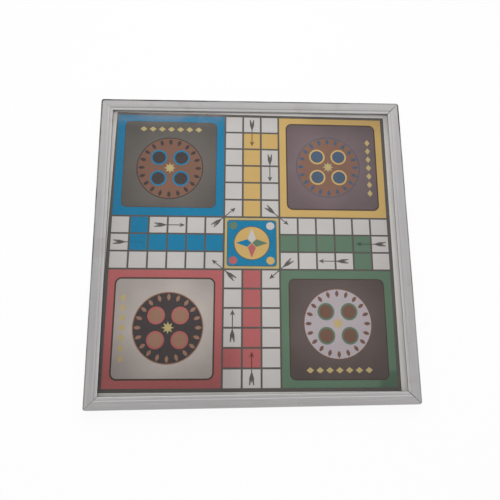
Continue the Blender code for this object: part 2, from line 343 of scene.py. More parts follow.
def rail_section():
    """Corners run from the outer foot over the top: inward distance, height and radius."""
    nose_top = FRAME_TOP - NOSE_STEP
    flange_bottom = FRAME_TOP - FLANGE_THICKNESS
    shelf_bottom = SHELF_TOP - WALL
    web_outside = WEB_INSIDE + WALL
    corners = [
        (0, 0, SMALL_RADIUS),
        (0, FRAME_TOP, OUTER_EDGE_RADIUS),
        (SHOULDER_START, FRAME_TOP, SHOULDER_RADIUS),
        (SHOULDER_END, FRAME_TOP - SHOULDER_DROP, SHOULDER_RADIUS),
        (FLAT_WIDTH, FRAME_TOP - SHOULDER_DROP, 0),
        (FLAT_WIDTH, nose_top, 0),
        (FLANGE_WIDTH, nose_top, NOSE_RADIUS),
        (FLANGE_WIDTH, NOSE_BOTTOM, 0),
        (FLAT_WIDTH, NOSE_BOTTOM, 0),
        (FLAT_WIDTH, flange_bottom, 0),
        (WALL, flange_bottom, SMALL_RADIUS),
        (WALL, SHELF_TOP, SMALL_RADIUS),
        (web_outside, SHELF_TOP, SMALL_RADIUS),
        (web_outside, 0, SMALL_RADIUS),
        (SLOT_HIGH, 0, SMALL_RADIUS),
        (SLOT_HIGH, WALL, 0),
        (WEB_INSIDE, WALL, SMALL_RADIUS),
        (WEB_INSIDE, shelf_bottom, SMALL_RADIUS),
        (WALL, shelf_bottom, SMALL_RADIUS),
        (WALL, WALL, SMALL_RADIUS),
        (SLOT_LOW, WALL, 0),
        (SLOT_LOW, 0, SMALL_RADIUS),
    ]
    return rounded_outline(corners, SECTION_ARC_STEPS)


SECTION = rail_section()
print("section of", len(SECTION), "points,", round(FLANGE_WIDTH / MM, 1), "mm wide")

# %% [markdown]
# Rings at a mitred end
#
# A straight extrusion cut by two planes would do, but then the filed corner could only be a cut
# through the rounded edge. So the section is swept instead. Rings of points run along the rail, and
# near each end the outer part of the ring swings round the corner's radius until it stands on the
# diagonal, while the inner part simply stops there. A last, slightly smaller ring breaks the edge of
# the mitre, which makes the joint show as a fine dark line.

# %% Place the rings
CORNER_RADIUS = 3.0 * MM
CORNER_STEPS = 6
MITRE = math.pi / 4


def shrunk_outline(outline, distance):
    """The outline moved inwards by a distance. Its points run clockwise."""
    shrunk = []
    for index, (x, y) in enumerate(outline):
        point = Vector((x, y))
        before = (point - Vector(outline[index - 1])).normalized()
        after = (Vector(outline[(index + 1) % len(outline)]) - point).normalized()
        normal_before = Vector((before.y, -before.x))
        normal_after = Vector((after.y, -after.x))
        inward = (normal_before + normal_after) / (1 + normal_before.dot(normal_after))
        shrunk.append(tuple(point + inward * distance))
    return shrunk


def rail_point(inward, swing, side, back_off):
    """Plan place of a point this far inward, when its ring has swung this far round a corner."""
    arc_centre = HALF_SIDE - CORNER_RADIUS
    arm = CORNER_RADIUS - inward
    if arm > 0:
        along = arc_centre + arm * math.sin(swing)
        outward = arc_centre + arm * math.cos(swing)
    else:
        along = outward = HALF_SIDE - inward
    return side * (along - back_off), outward


def end_rings(side, gap):
    """Rings (outline, swing, side, distance back) of a rail end, from the mitre to the straight."""
    chamfer = gap / 2
    start = gap / math.sqrt(2)
    rings = [(shrunk_outline(SECTION, chamfer), MITRE, side, start)]
    for step in range(CORNER_STEPS, -1, -1):
        rings.append((SECTION, MITRE * step / CORNER_STEPS, side, start + chamfer))
    return rings


print("corner radius", round(CORNER_RADIUS / MM, 1), "mm in", CORNER_STEPS, "steps")

# %% [markdown]
# A skin over the rings
#
# A rail is one skin from the first ring to the last, closed by a face at each mitre. The faces could
# be listed by number, but bmesh joins the points of two rings directly. Each point also stores where
# it lies in the rail, because that stays true when the rail is turned to another side of the frame.
# Edges sharper than the smooth angle stay sharp, so flats look flat and radii round.

# %% Skin a rail
SMOOTH_ANGLE = math.radians(30)
MERGE_DISTANCE = 0.0002 * MM
RAIL_PLACE = "rail_place"


def rail_mesh(low_gap, high_gap):
    shape = bmesh.new()
    place = shape.verts.layers.float_vector.new(RAIL_PLACE)
    rings = []
    for outline, swing, side, back_off in end_rings(-1, low_gap) + end_rings(1, high_gap)[::-1]:
        ring = []
        for inward, height in outline:
            along, outward = rail_point(inward, swing, side, back_off)
            vertex = shape.verts.new((along, outward, height))
            vertex[place] = (along, inward, height)
            ring.append(vertex)
        rings.append(ring)
    for ring, following in zip(rings, rings[1:]):
        for index in range(len(ring)):
            shape.faces.new((ring[index - 1], ring[index], following[index], following[index - 1]))
    shape.faces.new(rings[0])
    shape.faces.new(rings[-1])
    bmesh.ops.remove_doubles(shape, verts=shape.verts, dist=MERGE_DISTANCE)
    bmesh.ops.recalc_face_normals(shape, faces=shape.faces)
    mesh = bpy.data.meshes.new("rail")
    shape.to_mesh(mesh)
    shape.free()
    mesh.shade_smooth()
    mesh.set_sharp_from_angle(angle=SMOOTH_ANGLE)
    return mesh


def flatten_modifiers(piece):
    """Turns a piece with modifiers into a plain mesh."""
    bpy.context.view_layer.update()
    graph = bpy.context.evaluated_depsgraph_get()
    plain = bpy.data.meshes.new_from_object(piece.evaluated_get(graph), depsgraph=graph)
    piece.modifiers.clear()
    piece.data = plain
    plain.name = piece.name
    return piece


print("edges under", round(math.degrees(SMOOTH_ANGLE)), "degrees are smooth")

# %% [markdown]
# Four rails that aren't alike
#
# The rails have one section, but they don't look alike: some mitres stand open and are dark with dirt,
# and each rail's outer edge and step carry painted shade of their own strength, darkest on the far
# rail's outer edge. A separate material for each rail would repeat the same nodes four times. Two
# tables hold the differences instead, and each point stores its own rail's values, so that one finish
# can follow them.

# %% Build the rails
# Point attributes: painted shade of the outer edge, dirt of the mitre, a noise offset, and painted shade
# beside the step.
RAIL_SHADE_AND_DIRT = "rail_dirt"
STEP_SHADE = "step_dirt"
# Corner: how far its mitre stands open, and how dirty it is.
MITRES = {
    "back_left": (0.05 * MM, 0.1),
    "back_right": (0.3 * MM, 0.9),
    "front_right": (0.3 * MM, 0.9),
    "front_left": (0.2 * MM, 0.45),
}
# Rail: its two ends, the painted shade on its outer edge at each of them, and the painted shade beside its
# step.
RAILS = {
    "back": (("back_left", "back_right"), (1.2, 0.75), 0.5),
    "left": (("front_left", "back_left"), (0.7, 0.95), 0.15),
    "front": (("front_right", "front_left"), (0.15, 0.15), 0.2),
    "right": (("back_right", "front_right"), (1.0, 0.55), 0.0),
}


def mark_shade_and_dirt(mesh, quarter, ends, edge_shade, step_dirt):
    """Stores the painted shade of the outer edge and of the step, the mitre's dirt, and an offset for the
    noise.
    """
    values = []
    for vertex in mesh.vertices:
        end = int(vertex.co.x > 0)
        values += [edge_shade[end], MITRES[ends[end]][1], float(quarter)]
    mesh.attributes.new(RAIL_SHADE_AND_DIRT, "FLOAT_VECTOR", "POINT").data.foreach_set("vector", values)
    steps = [step_dirt] * len(mesh.vertices)
    mesh.attributes.new(STEP_SHADE, "FLOAT", "POINT").data.foreach_set("value", steps)


rails = []
for quarter, (rail_name, (ends, edge_shade, step_dirt)) in enumerate(RAILS.items()):
    rail = rail_mesh(*(MITRES[end][0] for end in ends))
    mark_shade_and_dirt(rail, quarter, ends, edge_shade, step_dirt)
    rail.transform(Matrix.Rotation(quarter * math.pi / 2, 4, "Z"))
    piece = add_object("satin_rail_" + rail_name, rail)
    weighted = piece.modifiers.new("flat_faces_stay_flat", "WEIGHTED_NORMAL")
    weighted.keep_sharp = True
    rails.append(flatten_modifiers(piece))
print("rails of", [len(piece.data.polygons) for piece in rails], "faces")

# %% [markdown]
# Noise that several finishes share
#
# Real surfaces are never one flat colour. A shader node group gives every finish the same two kinds
# of unevenness: soft blotches some centimetres wide and a fine grain. Each material sets how wide
# and how strong they are. The group hands out plain values, and the shader stays in the material.

# %% Build the unevenness group
NOISE_DETAIL = {"Blotch": 4.0, "Grain": 2.0}
NOISE_MIDDLE = 0.5
NOISE_INPUTS = {"Blotch Scale": 30.0, "Grain Scale": 900.0, "Blotch": 0.1, "Grain": 0.05}


def shader_group(name, inputs, outputs):
    """A new group that takes a place and some values, and hands out values."""
    group = bpy.data.node_groups.new(name, "ShaderNodeTree")
    group.interface.new_socket("Place", in_out="INPUT", socket_type="NodeSocketVector")
    for socket_name, default in inputs.items():
        socket = group.interface.new_socket(socket_name, in_out="INPUT", socket_type="NodeSocketFloat")
        socket.default_value = default
    for socket_name in outputs:
        group.interface.new_socket(socket_name, in_out="OUTPUT", socket_type="NodeSocketFloat")
    return group


def unevenness_group():
    group = shader_group("unevenness", NOISE_INPUTS, ("Level", "Blotches", "Grains"))
    given = add_node(group, "NodeGroupInput").outputs
    noises = []
    changes = []
    for name, detail in NOISE_DETAIL.items():
        inputs = {"Vector": given["Place"], "Scale": given[name + " Scale"], "Detail": detail}
        noise = add_node(group, "ShaderNodeTexNoise", inputs).outputs["Fac"]
        noises.append(noise)
        changes.append(times(group, math_node(group, "SUBTRACT", noise, NOISE_MIDDLE), given[name]))
    level = math_node(group, "ADD", math_node(group, "ADD", *changes), 1.0)
    add_node(group, "NodeGroupOutput", {"Level": level, "Blotches": noises[0], "Grains": noises[1]})
    return group


UNEVENNESS = unevenness_group()
print("group", UNEVENNESS.name, "with", len(UNEVENNESS.nodes), "nodes")

# %% [markdown]
# Small steps of a finish
#
# Every material below starts from a Principled shader and takes the same few steps: it reads a
# place, adds the shared unevenness, makes a colour lighter or darker, mixes two colours, or turns a
# value into bumps. Each step is a helper, so that a finish reads as a short list of what is on it.

# %% Helpers for finishes
def new_material(name):
    material = bpy.data.materials.new(name)
    material.use_nodes = True
    return material, material.node_tree, material.node_tree.nodes["Principled BSDF"]


def object_place(tree):
    return add_node(tree, "ShaderNodeTexCoord").outputs["Object"]


def attribute(tree, name, output="Vector"):
    return add_node(tree, "ShaderNodeAttribute", attribute_name=name).outputs[output]


def axes(tree, vector):
    return add_node(tree, "ShaderNodeSeparateXYZ", {0: vector}).outputs


def uneven(tree, place, **values):
    """The shared group, placed in one material with its own values."""
    inputs = {name.replace("_", " "): value for name, value in values.items()}
    return add_node(tree, "ShaderNodeGroup", {"Place": place, **inputs}, node_tree=UNEVENNESS).outputs


def stretched_place(tree, place, scale):
    return add_node(tree, "ShaderNodeMapping", {"Vector": place, "Scale": scale}).outputs[0]


def tinted(tree, colour, level):
    """A colour made lighter or darker by a level around 1."""
    scaled = add_node(tree, "ShaderNodeVectorMath", {0: colour, "Scale": level}, operation="SCALE")
    return scaled.outputs["Vector"]


def mixed_colour(tree, share, first, second):
    inputs = {"Factor": share, 6: first, 7: second}
    return add_node(tree, "ShaderNodeMix", inputs, data_type="RGBA").outputs[2]


def bumps(tree, height, strength, depth):
    inputs = {"Height": height, "Strength": strength, "Distance": depth}
    return add_node(tree, "ShaderNodeBump", inputs).outputs[0]


print("helpers for finishes are ready")

# %% [markdown]
# Painted shade and painted highlights
#
# Shade is painted along the outer edge, beside the step and at the lower edge of the nose, and grey
# dirt has settled in the mitres, which gives the rails their dark outlines. A highlight is painted
# on the shoulder and the nose. Both could be painted on by hand, but then they would not follow a
# change of size. Here they are ramps over the place that each point of a rail stores.

# %% Find painted shade, dirt and painted highlights
# Ramps of the painted shade on outer edge, step and nose, and of the dirt in the mitres.
EDGE_START, EDGE_START_GAIN = 0.6 * MM, 0.9 * MM
EDGE_END, EDGE_END_GAIN = 1.2 * MM, 1.3 * MM
EDGE_DOWN = (1.0 * MM, 1.6 * MM, 1.0, 0.05)
STEP_MIDDLE = FLAT_WIDTH - 0.4 * MM
STEP_BAND = (0.1 * MM, 0.6 * MM, 1.0, 0.0)
NOSE_TIP = (FLANGE_WIDTH - 0.7 * MM, FLANGE_WIDTH - 0.2 * MM)
NOSE_UP = (0.8 * MM, 1.4 * MM, 0.8, 0.0)
MITRE_BAND = (0.3 * MM, 1.0 * MM, 1.0, 0.0)
# Gain of the highlight painted on the shoulder and the nose.
PAINTED_HIGHLIGHT = 1.12
SHOULDER_MIDDLE = (SHOULDER_START + SHOULDER_END) / 2
SHOULDER_BAND = (0.4 * MM, 1.0 * MM, PAINTED_HIGHLIGHT, 1.0)
NOSE_BAND = (FLAT_WIDTH + 0.2 * MM, FLAT_WIDTH + 0.8 * MM, 1.0, PAINTED_HIGHLIGHT)


def away_from(tree, value, middle):
    return math_node(tree, "ABSOLUTE", math_node(tree, "SUBTRACT", value, middle))


def shade_and_dirt_mask(tree, along, inward, height, edge_shade, mitre_dirt):
    """Above 0 where shade is painted on edge, step and nose, and where dirt sits in the mitres. The
    stronger an outer edge's painted shade, the wider it is.
    """
    edge_start = math_node(tree, "MULTIPLY_ADD", edge_shade, EDGE_START_GAIN, EDGE_START)
    edge_end = math_node(tree, "MULTIPLY_ADD", edge_shade, EDGE_END_GAIN, EDGE_END)
    edge = ramp(tree, inward, edge_start, edge_end, 1.0, 0.0)
    from_top = math_node(tree, "SUBTRACT", FRAME_TOP, height)
    edge = times(tree, edge, ramp(tree, from_top, *EDGE_DOWN), edge_shade)
    step = ramp(tree, away_from(tree, inward, STEP_MIDDLE), *STEP_BAND)
    step = times(tree, step, attribute(tree, STEP_SHADE, "Fac"))
    above_glass = math_node(tree, "SUBTRACT", height, NOSE_BOTTOM)
    nose = times(tree, ramp(tree, inward, *NOSE_TIP), ramp(tree, above_glass, *NOSE_UP))
    cut = math_node(tree, "ADD", inward, math_node(tree, "ABSOLUTE", along))
    mitre = ramp(tree, math_node(tree, "SUBTRACT", HALF_SIDE, cut), *MITRE_BAND)
    mask = times(tree, mitre, mitre_dirt)
    # Edge, step and nose are painted shade; the mitre mask is dirt.
    for dirt in (edge, step, nose):
        mask = math_node(tree, "MAXIMUM", mask, dirt)
    return mask


def painted_highlight_level(tree, inward):
    """Above 1 where a highlight is painted: along the shoulder and on the nose."""
    shoulder = ramp(tree, away_from(tree, inward, SHOULDER_MIDDLE), *SHOULDER_BAND)
    return times(tree, shoulder, ramp(tree, inward, *NOSE_BAND))


# The printed gain is that of the painted highlight.
print("rubbed metal is", PAINTED_HIGHLIGHT, "times as bright")

# %% [markdown]
# Satin aluminium
#
# The rails are bare extruded aluminium with a satin finish. Drawing the metal through its die leaves
# fine lines along the rail, so the grain is stretched lengthwise. The rail's own place attribute
# turns it the right way on all four sides. Clouds, stains and specks lie over the lines. Painted
# shade, mitre dirt and specks aren't metal: where they lie, the shader is dark, rough and no longer
# metallic, or it would still mirror the bright sky.

# %% Finish the rails
ALUMINIUM = (0.635, 0.628, 0.629)
# Colour of the painted shade on the rails, shared by the mitre dirt and the specks.
SHADE_AND_DIRT_COLOUR = (0.03, 0.029, 0.028, 1.0)
STAIN = (0.50, 0.468, 0.44, 1.0)
LINE_STRETCH = (0.02, 1.0, 1.0)
SHADE_AND_DIRT_BREAKS = (0.3, 0.6, 0.6, 1.0)
STAIN_RAMP = (0.56, 0.74, 0.0, 0.35)
SPECK_RAMP = (0.70, 0.76, 0.0, 0.45)
LINE_ROUGHNESS = (0.25, 0.75, 0.36, 0.46)
SHADE_AND_DIRT_ROUGHNESS = 0.25
SHADE_AND_DIRT_SHINE = 0.2
METAL_UNDER_SHADE_AND_DIRT = (0.0, 0.9, 1.0, 0.0)


def aluminium_material():
    material, tree, shader = new_material("satin_aluminium")
    place = attribute(tree, RAIL_PLACE)
    parts = axes(tree, place)
    # Painted shade of the outer edge, dirt of the mitre, and a noise offset.
    dirt = axes(tree, attribute(tree, RAIL_SHADE_AND_DIRT))
    place = add_node(tree, "ShaderNodeVectorMath", {0: place, 1: dirt["Z"]}, operation="ADD").outputs[0]
    drawn = stretched_place(tree, place, LINE_STRETCH)
    lines = uneven(tree, drawn, Blotch_Scale=260.0, Grain_Scale=1500.0, Blotch=0.26, Grain=0.20)
    clouds = uneven(tree, place, Blotch_Scale=28.0, Grain_Scale=420.0, Blotch=0.12, Grain=0.08)
    level = times(tree, lines["Level"], clouds["Level"], painted_highlight_level(tree, parts["Y"]))
    # Painted shade on edge, step and nose and dirt in the mitres, broken into patches.
    shade_and_dirt = shade_and_dirt_mask(tree, parts["X"], parts["Y"], parts["Z"], dirt["X"], dirt["Y"])
    shade_and_dirt = times(tree, shade_and_dirt, ramp(tree, clouds["Blotches"], *SHADE_AND_DIRT_BREAKS))
    dark = math_node(tree, "MAXIMUM", shade_and_dirt, ramp(tree, clouds["Grains"], *SPECK_RAMP))
    stain = ramp(tree, clouds["Blotches"], *STAIN_RAMP)
    colour = mixed_colour(tree, stain, tinted(tree, ALUMINIUM, level), STAIN)
    rough = ramp(tree, lines["Grains"], *LINE_ROUGHNESS)
    fill_inputs(tree, shader, {
        "Base Color": mixed_colour(tree, dark, colour, SHADE_AND_DIRT_COLOUR),
        "Roughness": math_node(tree, "ADD", rough, times(tree, dark, SHADE_AND_DIRT_ROUGHNESS)),
        "Metallic": ramp(tree, dark, *METAL_UNDER_SHADE_AND_DIRT, smooth=False),
        "Normal": bumps(tree, lines["Grains"], strength=0.25, depth=0.02 * MM),
        "Specular IOR Level": SHADE_AND_DIRT_SHINE,
    })
    return material


aluminium = aluminium_material()
for piece, rail_name in zip(rails, RAILS):
    piece.data.materials.clear()
    piece.data.materials.append(aluminium)
    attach(piece, "root")
    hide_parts("rail_" + rail_name)
print("aluminium with", len(aluminium.node_tree.nodes), "nodes on", len(rails), "rails")

# %% [markdown]
# Glass
#
# The pane is ordinary float glass, three millimetres thick. Each of its faces mirrors a little of
# the sky, which is the grey veil over the print. In the photograph that veil is weak where one looks
# straight down, so the specular tint holds the steep mirror back. A path tracer would need very many
# samples to find lamps through real glass, so rays towards lamps and rays scattered by the print
# meet a nearly clear film instead. Faint smears where hands have wiped it change the gloss a little.

# %% Glaze the board
GLASS_TINT = (0.975, 0.985, 0.978, 1.0)
FILM_TINT = (0.96, 0.965, 0.96, 1.0)
GLASS_SHINE = (0.35, 0.35, 0.35, 1.0)
GLASS_IOR = 1.5
SMEAR_ROUGHNESS = (0.45, 0.75, 0.0, 0.045)


def glass_material():
    material, tree, shader = new_material("clear_glass")
    smears = uneven(tree, object_place(tree), Blotch_Scale=14.0, Grain_Scale=180.0)
    fill_inputs(tree, shader, {
        "Base Color": GLASS_TINT,
        "Transmission Weight": 1.0,
        "IOR": GLASS_IOR,
        "Specular Tint": GLASS_SHINE,
        "Roughness": ramp(tree, smears["Blotches"], *SMEAR_ROUGHNESS),
    })
    path = add_node(tree, "ShaderNodeLightPath").outputs
    film = add_node(tree, "ShaderNodeBsdfTransparent", {"Color": FILM_TINT}).outputs[0]
    pane = mixed_shader(tree, path["Is Diffuse Ray"], shader.outputs[0], film)
    lit = mixed_shader(tree, path["Is Shadow Ray"], pane, film)
    tree.links.new(lit, tree.nodes["Material Output"].inputs["Surface"])
    return material


def dress(node_name, material):
    """Gives a solid of the frame its finish. Its shape is right, so it stays as it is."""
    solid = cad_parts[node_name]
    solid.data.materials.clear()
    solid.data.materials.append(material)


dress("glass_pane", glass_material())

# %% [markdown]
# Painted shade on the sheet
#
# Shade is painted on the print: it is darker towards its sides and its near edge, where the light
# falls off, and two corners beside the rails are darker still, as their painted shadow. A patch at the
# far left is paler, mixed towards a faded grey pink. All inks share that, so it is one more node
# group: Level darkens an ink, and Fade says how far it has paled. A corner is the product of two
# ramps, one across the sheet and one away from the viewer.

# %% Build the painted shade group
# Painted shade: darker towards the sides and towards the near edge.
SHADED_SIDES = (80 * MM, 190 * MM, 1.0, 0.88)
SHADED_NEAR = (-190 * MM, -80 * MM, 0.9, 1.0)
# Painted shadow of the rails in two corners, and a paler patch at the far left.
NEAR_LEFT = ((-35 * MM, -10 * MM, 1.0, 0.0), (-165 * MM, -70 * MM, 1.0, 0.0))
FAR_RIGHT = ((50 * MM, 90 * MM), (140 * MM, 178 * MM))
FAR_LEFT = ((-60 * MM, -20 * MM, 1.0, 0.0), (160 * MM, 184 * MM))
CORNER_LEVELS = (0.0, 1.0, 1.0, 0.82)
FADE_PATCH_SCALE, FADE_PATCH_DETAIL = 45.0, 3.0
FADE_PATCH_RAMP = (0.35, 0.65, 0.15, 0.5)


def corner_patch(tree, parts, across, away):
    return times(tree, ramp(tree, parts["X"], *across), ramp(tree, parts["Y"], *away))


def shade_and_fade_group():
    group = shader_group("sheet_age", {}, ("Level", "Fade"))
    place = add_node(group, "NodeGroupInput").outputs["Place"]
    parts = axes(group, place)
    sides = ramp(group, math_node(group, "ABSOLUTE", parts["X"]), *SHADED_SIDES)
    level = times(group, sides, ramp(group, parts["Y"], *SHADED_NEAR))
    for corner in (NEAR_LEFT, FAR_RIGHT):
        patch = corner_patch(group, parts, *corner)
        level = times(group, level, ramp(group, patch, *CORNER_LEVELS, smooth=False))
    fade_noise_inputs = {"Vector": place, "Scale": FADE_PATCH_SCALE, "Detail": FADE_PATCH_DETAIL}
    fade_noise = add_node(group, "ShaderNodeTexNoise", fade_noise_inputs).outputs["Fac"]
    fade = times(group, corner_patch(group, parts, *FAR_LEFT), ramp(group, fade_noise, *FADE_PATCH_RAMP))
    add_node(group, "NodeGroupOutput", {"Level": level, "Fade": fade})
    return group


SHADE_AND_FADE = shade_and_fade_group()
print("group", SHADE_AND_FADE.name, "with", len(SHADE_AND_FADE.nodes), "nodes")

# %% [markdown]
# Paper and ink
#
# The sheet is matt printing paper. Its colours are written as the eye meets them on the board, with
# the glass over them. The pane takes a little of their light away and lays its veil on top, so a
# helper works back to the ink itself. Every ink then gets the shared unevenness, soft blotches from
# the press and a fine grain of paper fibres, and the painted shade of the sheet. The red ink is
# painted darker towards the near edge, as shade beside the frame, and the green ink is darker in one
# small patch at its near right corner: a ramp over the distance from one place changes their level.

# %% Mix the inks
VEIL = 0.02
THROUGH_GLASS = 0.84
DARKEST_INK = 0.003
INK_ROUGHNESS = 0.6
INK_SHINE = 0.12
FADED = (152, 142, 142)
INK_COLOURS = {
    "paper": (202, 198, 196),
    "black": (92, 88, 85),
    "white": (184, 179, 178),
    "blue": (16, 116, 153),
    "yellow": (190, 158, 102),
    "green": (95, 117, 100),
    "red": (168, 96, 97),
    "gold": (176, 158, 112),
    "brown_black": (80, 68, 61),
}
# Ink: the middle of its darker place, and a ramp of its level over the distance from there.
# Red gets painted shade towards the near edge; green is darker in a small patch at its near right corner.
INK_SHADES = {
    "green": ((173 * MM, -180 * MM, SHEET_TOP), 17 * MM, 26 * MM, 0.70, 1.0),
    "red": ((-80 * MM, -200 * MM, SHEET_TOP), 30 * MM, 115 * MM, 0.84, 1.0),
}


def linear_light(part):
    """Light of an 8-bit part of a colour, by the curve of the sRGB standard."""
    share = part / 255
    return share / 12.92 if share <= 0.04045 else ((share + 0.055) / 1.055) ** 2.4


def ink_colour(seen_colour):
    """Linear colour of an ink that is seen under the glass as this 8-bit colour."""
    bare = [(linear_light(part) - VEIL) / THROUGH_GLASS for part in seen_colour]
    return tuple(max(part, DARKEST_INK) for part in bare)


def ink_material(name, seen_colour, blotch=0.2, grain=0.12, shade=None):
    material, tree, shader = new_material(name)
    place = object_place(tree)
    spots = uneven(tree, place, Blotch_Scale=22.0, Grain_Scale=1100.0, Blotch=blotch, Grain=grain)
    # The painted shade and the paler patch of the sheet.
    shade_and_fade = add_node(tree, "ShaderNodeGroup", {"Place": place}, node_tree=SHADE_AND_FADE).outputs
    level = times(tree, spots["Level"], shade_and_fade["Level"])
    # Level over the distance from one place: painted shade for red, a dark patch for green, a lighter
    # middle for a panel's ground.
    if shade:
        away = add_node(tree, "ShaderNodeVectorMath", {0: place, 1: shade[0]}, operation="DISTANCE")
        level = times(tree, level, ramp(tree, away.outputs["Value"], *shade[1:]))
    fresh = tinted(tree, ink_colour(seen_colour), level)
    fill_inputs(tree, shader, {
        "Base Color": mixed_colour(tree, shade_and_fade["Fade"], fresh, (*ink_colour(FADED), 1.0)),
        "Roughness": INK_ROUGHNESS,
        "Specular IOR Level": INK_SHINE,
    })
    return material


INKS = {}
for name, colour in INK_COLOURS.items():
    INKS[name] = ink_material("ink_" + name, colour, shade=INK_SHADES.get(name))
dress("printed_sheet", INKS["paper"])
print("inks:", ", ".join(INKS))

# %% [markdown]
# A stamp for every mark
#
# Almost everything on the sheet repeats: cells, arrows, spots and pips. One Geometry Nodes tree
# prints them all. It takes a flat outline, gives it the thickness of a layer of ink, and sets a copy
# at every point of a mesh, turned by that point's own angle. A loop that copies meshes would do as
# well, but the tree keeps the size, the ink and the places as named inputs.

# %% Build the stamp tree
INK_DEPTH = 0.030 * MM
INK_MERGE = 0.1 * INK_DEPTH
TURN = "turn"
STAMP_INPUTS = {"Places": "Geometry", "Outline": "Object", "Ink Depth": "Float", "Ink": "Material"}


def stamp_tree():
    tree = bpy.data.node_groups.new("ink_stamp", "GeometryNodeTree")
    for name, kind in STAMP_INPUTS.items():
        tree.interface.new_socket(name, in_out="INPUT", socket_type="NodeSocket" + kind)
    tree.interface.new_socket("Print", in_out="OUTPUT", socket_type="NodeSocketGeometry")
    given = add_node(tree, "NodeGroupInput").outputs
    flat = add_node(tree, "GeometryNodeObjectInfo", {"Object": given["Outline"]}).outputs["Geometry"]
    raised_inputs = {"Mesh": flat, "Offset Scale": given["Ink Depth"], "Individual": False}
    raised = add_node(tree, "GeometryNodeExtrudeMesh", raised_inputs, mode="FACES").outputs["Mesh"]
    under = add_node(tree, "GeometryNodeFlipFaces", {"Mesh": flat}).outputs[0]
    both = add_node(tree, "GeometryNodeJoinGeometry")
    tree.links.new(under, both.inputs[0])
    tree.links.new(raised, both.inputs[0])
    closed_inputs = {"Geometry": both.outputs[0], "Distance": INK_MERGE}
    closed = add_node(tree, "GeometryNodeMergeByDistance", closed_inputs).outputs[0]
    angle = add_node(tree, "GeometryNodeInputNamedAttribute", {"Name": TURN}, data_type="FLOAT")
    euler = add_node(tree, "ShaderNodeCombineXYZ", {"Z": angle.outputs["Attribute"]}).outputs[0]
    turn = add_node(tree, "FunctionNodeEulerToRotation", {0: euler}).outputs[0]
    copies_inputs = {"Points": given["Places"], "Instance": closed, "Rotation": turn}
    copies = add_node(tree, "GeometryNodeInstanceOnPoints", copies_inputs).outputs["Instances"]
    solid = add_node(tree, "GeometryNodeRealizeInstances", {"Geometry": copies}).outputs[0]
    inked_inputs = {"Geometry": solid, "Material": given["Ink"]}
    inked = add_node(tree, "GeometryNodeSetMaterial", inked_inputs).outputs[0]
    add_node(tree, "NodeGroupOutput", {"Print": inked})
    return tree


STAMP = stamp_tree()
print("stamp tree with", len(STAMP.nodes), "nodes")

# %% [markdown]
# Where the press puts a mark
#
# The track is laid out evenly first. The real print isn't quite even, though: its middle rows are a
# little narrower than the others, and its right half tapers slightly towards the far side. So marks
# are stretched to where the sheet's long lines lie, and then turned with the crooked sheet. That
# keeps the layout itself simple, with one size for all cells.

# %% Follow the uneven print
CELL = 23.7 * MM
EVEN_LINES = [cells * CELL for cells in (-7.5, -1.5, 1.5, 7.5)]
COLUMN_LINES = [x * MM for x in (-177.2, -34.7, 36.4, 177.9)]
ROW_LINES = [y * MM for y in (-178.6, -32.0, 36.9, 179.1)]
RIGHT_TAPER = 0.042


def stretched(value, lines):
    """Moves a coordinate of the even track to where the sheet's own four long lines lie."""
    band = 0 if value < EVEN_LINES[1] else 1 if value <= EVEN_LINES[2] else 2
    share = (value - EVEN_LINES[band]) / (EVEN_LINES[band + 1] - EVEN_LINES[band])
    return lines[band] + share * (lines[band + 1] - lines[band])


def pressed(x, y):
    """Where the press really put a place of the even track."""
    row = stretched(y, ROW_LINES)
    taper = RIGHT_TAPER if x > 0 else 0.0
    return stretched(x, COLUMN_LINES) * (1 - taper * row), row


def sheet_matrix(layer):
    """Carries the track from its own middle to its crooked place on the sheet."""
    lift = SHEET_TOP + layer * INK_DEPTH
    return Matrix.Translation((SHEET_MIDDLE.x, SHEET_MIDDLE.y, lift)) @ Matrix.Rotation(SHEET_TURN, 4, "Z")


far_corner = pressed(EVEN_LINES[-1], EVEN_LINES[-1])
print("far right corner of the track at", [round(part / MM, 1) for part in far_corner], "mm")

# %% [markdown]
# Marks in layers
#
# Inks lie on each other in layers, counted from the paper up, as passes through a press do. They are
# thin enough to fit between the paper and the glass. A shader could paint the marks on the paper,
# but as thin solids they are sharp from near by and are pieces of their own in an export.

# %% Stamp marks on the sheet
def outline_object(name, points):
    mesh = bpy.data.meshes.new(name)
    mesh.from_pydata([(x, y, 0.0) for x, y in points], [], [range(len(points))])
    return add_object(name, mesh)


def places_mesh(name, places):
    """One point for each place (x, y, turn)."""
    mesh = bpy.data.meshes.new(name)
    mesh.from_pydata([(x, y, 0.0) for x, y, _ in places], [], [])
    turns = [turn for _, _, turn in places]
    mesh.attributes.new(TURN, "FLOAT", "POINT").data.foreach_set("value", turns)
    return mesh


def print_marks(name, outline, places, ink, layer):
    """Stamps an outline at all its places, in one ink and in one layer on the sheet."""
    stamp = outline_object(name + "_outline", outline)
    piece = add_object(name, places_mesh(name, places))
    press = piece.modifiers.new("press", "NODES")
    press.node_group = STAMP
    values = {"Outline": stamp, "Ink Depth": INK_DEPTH, "Ink": ink}
    for item in STAMP.interface.items_tree:
        if item.name in values:
            press[item.identifier] = values[item.name]
    flatten_modifiers(piece)
    bpy.data.objects.remove(stamp, do_unlink=True)
    for vertex in piece.data.vertices:
        vertex.co.xy = pressed(*vertex.co.xy)
    piece.data.transform(sheet_matrix(layer))
    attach(piece, "root")


print("ink layers of", round(INK_DEPTH / MM, 3), "mm, from", round(SHEET_TOP / MM, 2), "mm up")

# %% [markdown]
# The track
#
# A ludo track is a cross of three by six cells on each side of a home square, fifteen cells across
# in all. Its four arms are alike but for their colours. All places could be listed, but only the far
# arm is described here, and quarter turns give the other three.

# %% Lay out the track
CELLS = 15
BOX_ARC_STEPS = 6
MIDDLE = (0, 0, 0)


